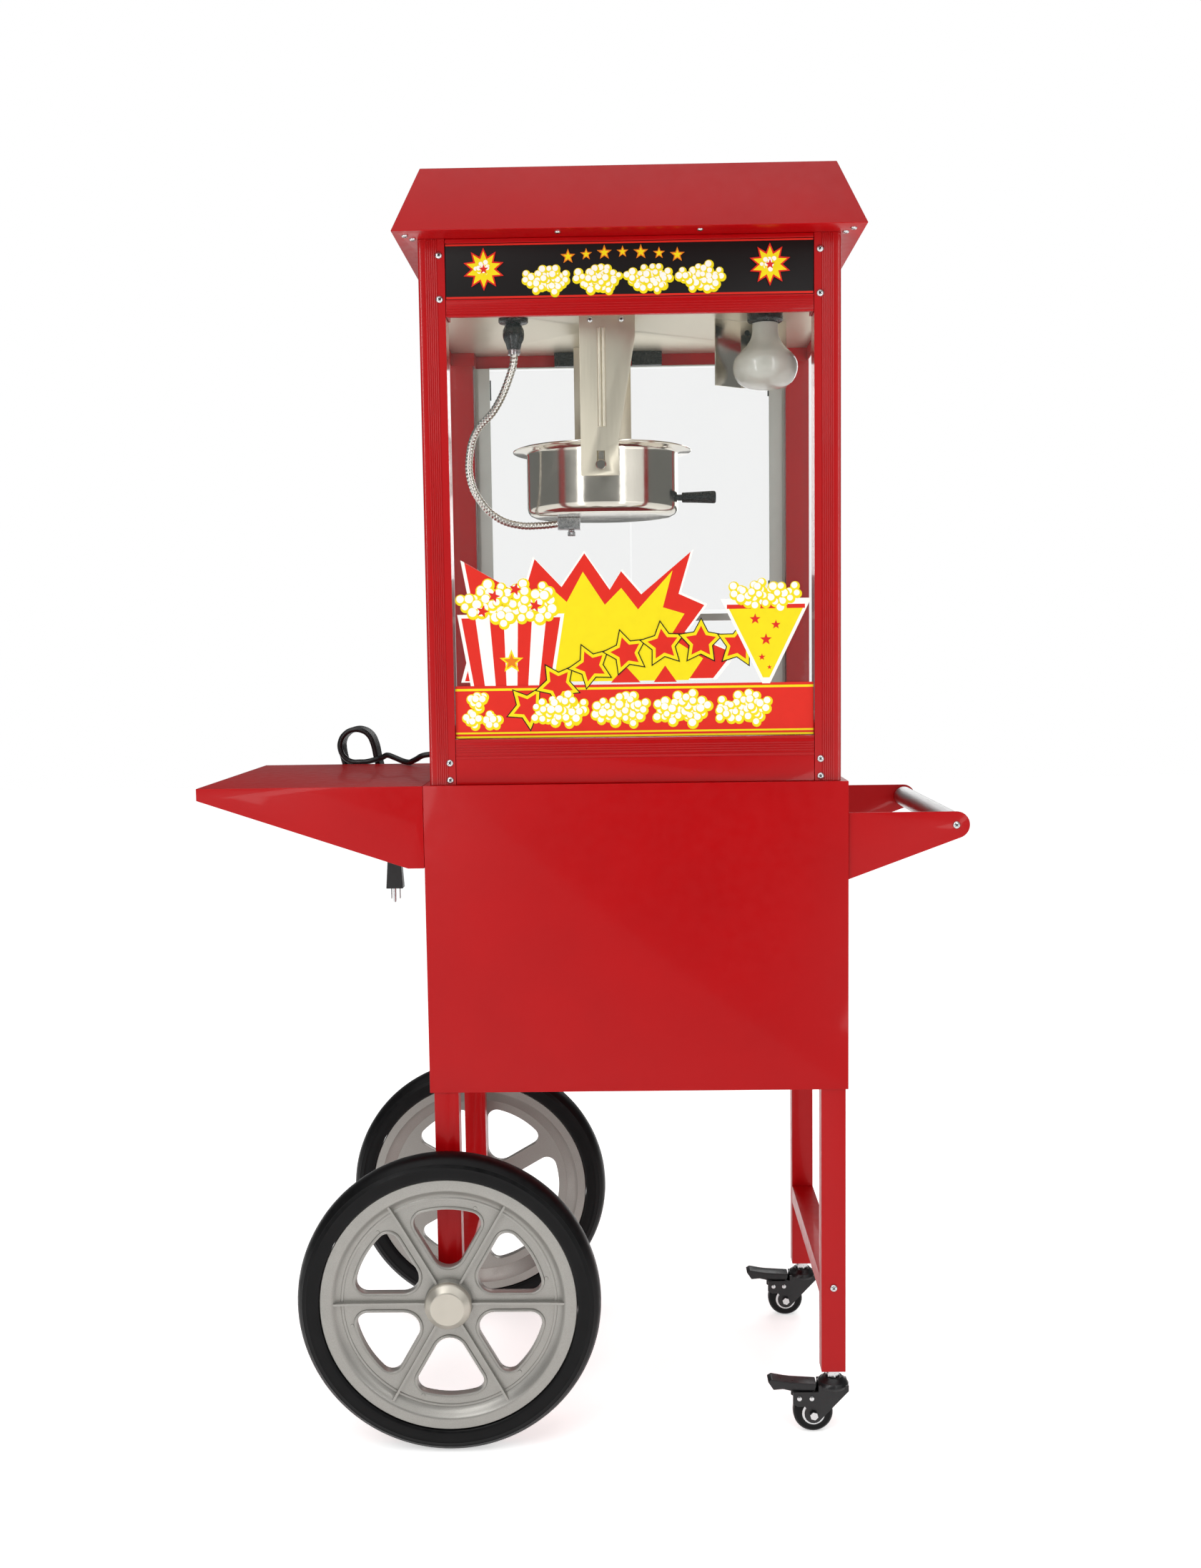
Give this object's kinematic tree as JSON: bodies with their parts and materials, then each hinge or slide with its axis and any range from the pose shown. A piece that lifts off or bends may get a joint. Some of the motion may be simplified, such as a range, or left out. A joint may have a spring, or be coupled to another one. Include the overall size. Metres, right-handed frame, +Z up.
{
  "type": "popcorn maker",
  "caption": "Wheeled popcorn cart: glazed popper cabinet with tipping stirred kettle, ribbed posts and hip roof, on a sheet-metal cart with spoked wheels, casters and side shelf.",
  "frame": {"origin": "on the floor at the middle of the cart's footprint, the free cord not counted", "axes": "+Z up, the glazed front with the printed pane faces -Y, +X towards the push bar"},
  "size_m": [0.9405, 0.474, 1.56],
  "materials": {
    "red_paint": "gloss enamel",
    "red_post": "gloss enamel on ribbed extrusion",
    "push_bar_alloy": "ribbed",
    "wheel_grey": "silver-grey moulded",
    "tyre_black": "smooth moulded",
    "axle_zinc": "zinc plated",
    "caster_black": "black coated pressing",
    "caster_tread": "moulded tread",
    "sign_face": "printed panel with a popcorn pattern",
    "pane_glass": "clear, decal on the front pane",
    "drawer_steel": "satin",
    "kettle_steel": "mirror polished",
    "hanger_steel": "satin",
    "black_plastic": "moulded",
    "motor_grey": "cast housing",
    "conduit_braid": "wound flexible hose",
    "lamp_frost": "frosted reflector bulb",
    "cord_black": "moulded flex"
  },
  "bodies": {
    "root": {"cart_shell": "red_paint", "side_shelf": "red_paint", "handle_plate_front": "red_paint", "handle_plate_rear": "red_paint", "leg_front_left": "red_paint", "leg_rear_left": "red_paint", "leg_front_right": "red_paint", "leg_rear_right": "red_paint", "brace_left": "red_paint", "brace_right": "red_paint", "base_frame": "red_paint", "header_frame": "red_paint", "roof": "red_paint", "post_front_left": "red_post", "post_front_right": "red_post", "post_rear_left": "red_post", "post_rear_right": "red_post", "push_bar": "push_bar_alloy", "axle": "axle_zinc", "caster_front_stem": "axle_zinc", "caster_rear_stem": "axle_zinc", "sign_panel": "sign_face", "front_glass": "pane_glass", "left_glass": "pane_glass", "right_glass": "pane_glass", "rear_glass": "pane_glass", "ceiling_plate": "drawer_steel", "lamp_shield": "kettle_steel", "kettle_hanger": "hanger_steel", "outlet_plug": "black_plastic", "drive_motor": "motor_grey", "conduit": "conduit_braid", "lamp": "lamp_frost", "cord_relief": "cord_black", "power_cord": "cord_black", "cord_hank": "cord_black", "cord_plug": "cord_black"},
    "front_wheel": {"wheel_front_rim": "wheel_grey", "wheel_front_tyre": "tyre_black"},
    "rear_wheel": {"wheel_rear_rim": "wheel_grey", "wheel_rear_tyre": "tyre_black"},
    "front_caster_fork": {"caster_front_fork": "caster_black"},
    "rear_caster_fork": {"caster_rear_fork": "caster_black"},
    "front_caster_wheel": {"caster_front_wheel": "caster_tread"},
    "rear_caster_wheel": {"caster_rear_wheel": "caster_tread"},
    "front_caster_pedal": {"caster_front_pedal": "caster_black"},
    "rear_caster_pedal": {"caster_rear_pedal": "caster_black"},
    "cart_door": {"cart_door": "red_paint"},
    "crumb_drawer": {"crumb_drawer": "drawer_steel"},
    "door_left": {"door_left": "pane_glass"},
    "door_right": {"door_right": "pane_glass"},
    "switch_motor": {"switch_motor": "black_plastic"},
    "switch_heat": {"switch_heat": "black_plastic"},
    "switch_light": {"switch_light": "black_plastic"},
    "drive_shaft": {"drive_shaft": "hanger_steel"},
    "kettle": {"kettle": "kettle_steel", "kettle_handle": "black_plastic"},
    "stirrer": {"stirrer": "kettle_steel"},
    "lid_left": {"lid_left": "kettle_steel"},
    "lid_right": {"lid_right": "kettle_steel"}
  },
  "joints": [
    {"name": "front_wheel_spin", "type": "hinge", "parent": "root", "child": "front_wheel", "pos_m": [-0.17225, -0.2075, 0.1875], "axis": [0, 1, 0], "continuous": true},
    {"name": "rear_wheel_spin", "type": "hinge", "parent": "root", "child": "rear_wheel", "pos_m": [-0.17225, 0.2075, 0.1875], "axis": [0, 1, 0], "continuous": true},
    {"name": "front_caster_swivel", "type": "hinge", "parent": "root", "child": "front_caster_fork", "pos_m": [0.30475, -0.1702, 0.05], "axis": [0, 0, 1], "continuous": true},
    {"name": "front_caster_roll", "type": "hinge", "parent": "front_caster_fork", "child": "front_caster_wheel", "pos_m": [0.27975, -0.1702, 0.025], "axis": [0, 1, 0], "continuous": true},
    {"name": "front_brake_press", "type": "hinge", "parent": "front_caster_fork", "child": "front_caster_pedal", "pos_m": [0.27675, -0.1702, 0.056], "axis": [0, -1, 0], "range_deg": [0, 8]},
    {"name": "rear_caster_swivel", "type": "hinge", "parent": "root", "child": "rear_caster_fork", "pos_m": [0.30475, 0.1702, 0.05], "axis": [0, 0, 1], "continuous": true},
    {"name": "rear_caster_roll", "type": "hinge", "parent": "rear_caster_fork", "child": "rear_caster_wheel", "pos_m": [0.27975, 0.1702, 0.025], "axis": [0, 1, 0], "continuous": true},
    {"name": "rear_brake_press", "type": "hinge", "parent": "rear_caster_fork", "child": "rear_caster_pedal", "pos_m": [0.27675, 0.1702, 0.056], "axis": [0, -1, 0], "range_deg": [0, 8]},
    {"name": "cart_door_swing", "type": "hinge", "parent": "root", "child": "cart_door", "pos_m": [-0.17375, 0.1865, 0.634], "axis": [0, 0, 1], "range_deg": [0, 110]},
    {"name": "drawer_pull", "type": "slide", "parent": "root", "child": "crumb_drawer", "axis": [0, 1, 0], "range_m": [0, 0.26]},
    {"name": "left_door_swing", "type": "hinge", "parent": "root", "child": "door_left", "pos_m": [-0.14925, 0.1765, 1.209], "axis": [0, 0, 1], "range_deg": [0, 110]},
    {"name": "right_door_swing", "type": "hinge", "parent": "root", "child": "door_right", "pos_m": [0.27875, 0.1765, 1.209], "axis": [0, 0, -1], "range_deg": [0, 110]},
    {"name": "motor_switch_press", "type": "hinge", "parent": "root", "child": "switch_motor", "pos_m": [0.00475, 0.1765, 1.437], "axis": [1, 0, 0], "range_deg": [-6, 6]},
    {"name": "heat_switch_press", "type": "hinge", "parent": "root", "child": "switch_heat", "pos_m": [0.06475, 0.1765, 1.437], "axis": [1, 0, 0], "range_deg": [-6, 6]},
    {"name": "light_switch_press", "type": "hinge", "parent": "root", "child": "switch_light", "pos_m": [0.12475, 0.1765, 1.437], "axis": [1, 0, 0], "range_deg": [-6, 6]},
    {"name": "shaft_turn", "type": "hinge", "parent": "root", "child": "drive_shaft", "pos_m": [0.02775, -0.005, 1.34], "axis": [0, 0, 1], "continuous": true},
    {"name": "kettle_tip", "type": "hinge", "parent": "root", "child": "kettle", "pos_m": [0.02775, -0.005, 1.212], "axis": [0, 1, 0], "range_deg": [0, 100], "deforming": ["conduit"]},
    {"name": "stirrer_turn", "type": "hinge", "parent": "kettle", "child": "stirrer", "pos_m": [0.02775, -0.005, 1.212], "axis": [0, 0, 1], "continuous": true},
    {"name": "left_lid_lift", "type": "hinge", "parent": "kettle", "child": "lid_left", "pos_m": [0.01575, -0.005, 1.2436], "axis": [0, 1, 0], "range_deg": [0, 84]},
    {"name": "right_lid_lift", "type": "hinge", "parent": "kettle", "child": "lid_right", "pos_m": [0.03975, -0.005, 1.2436], "axis": [0, -1, 0], "range_deg": [0, 84]}
  ],
  "couplings": [
    {"joint": "stirrer_turn", "follows": "shaft_turn", "ratio": 1}
  ]
}
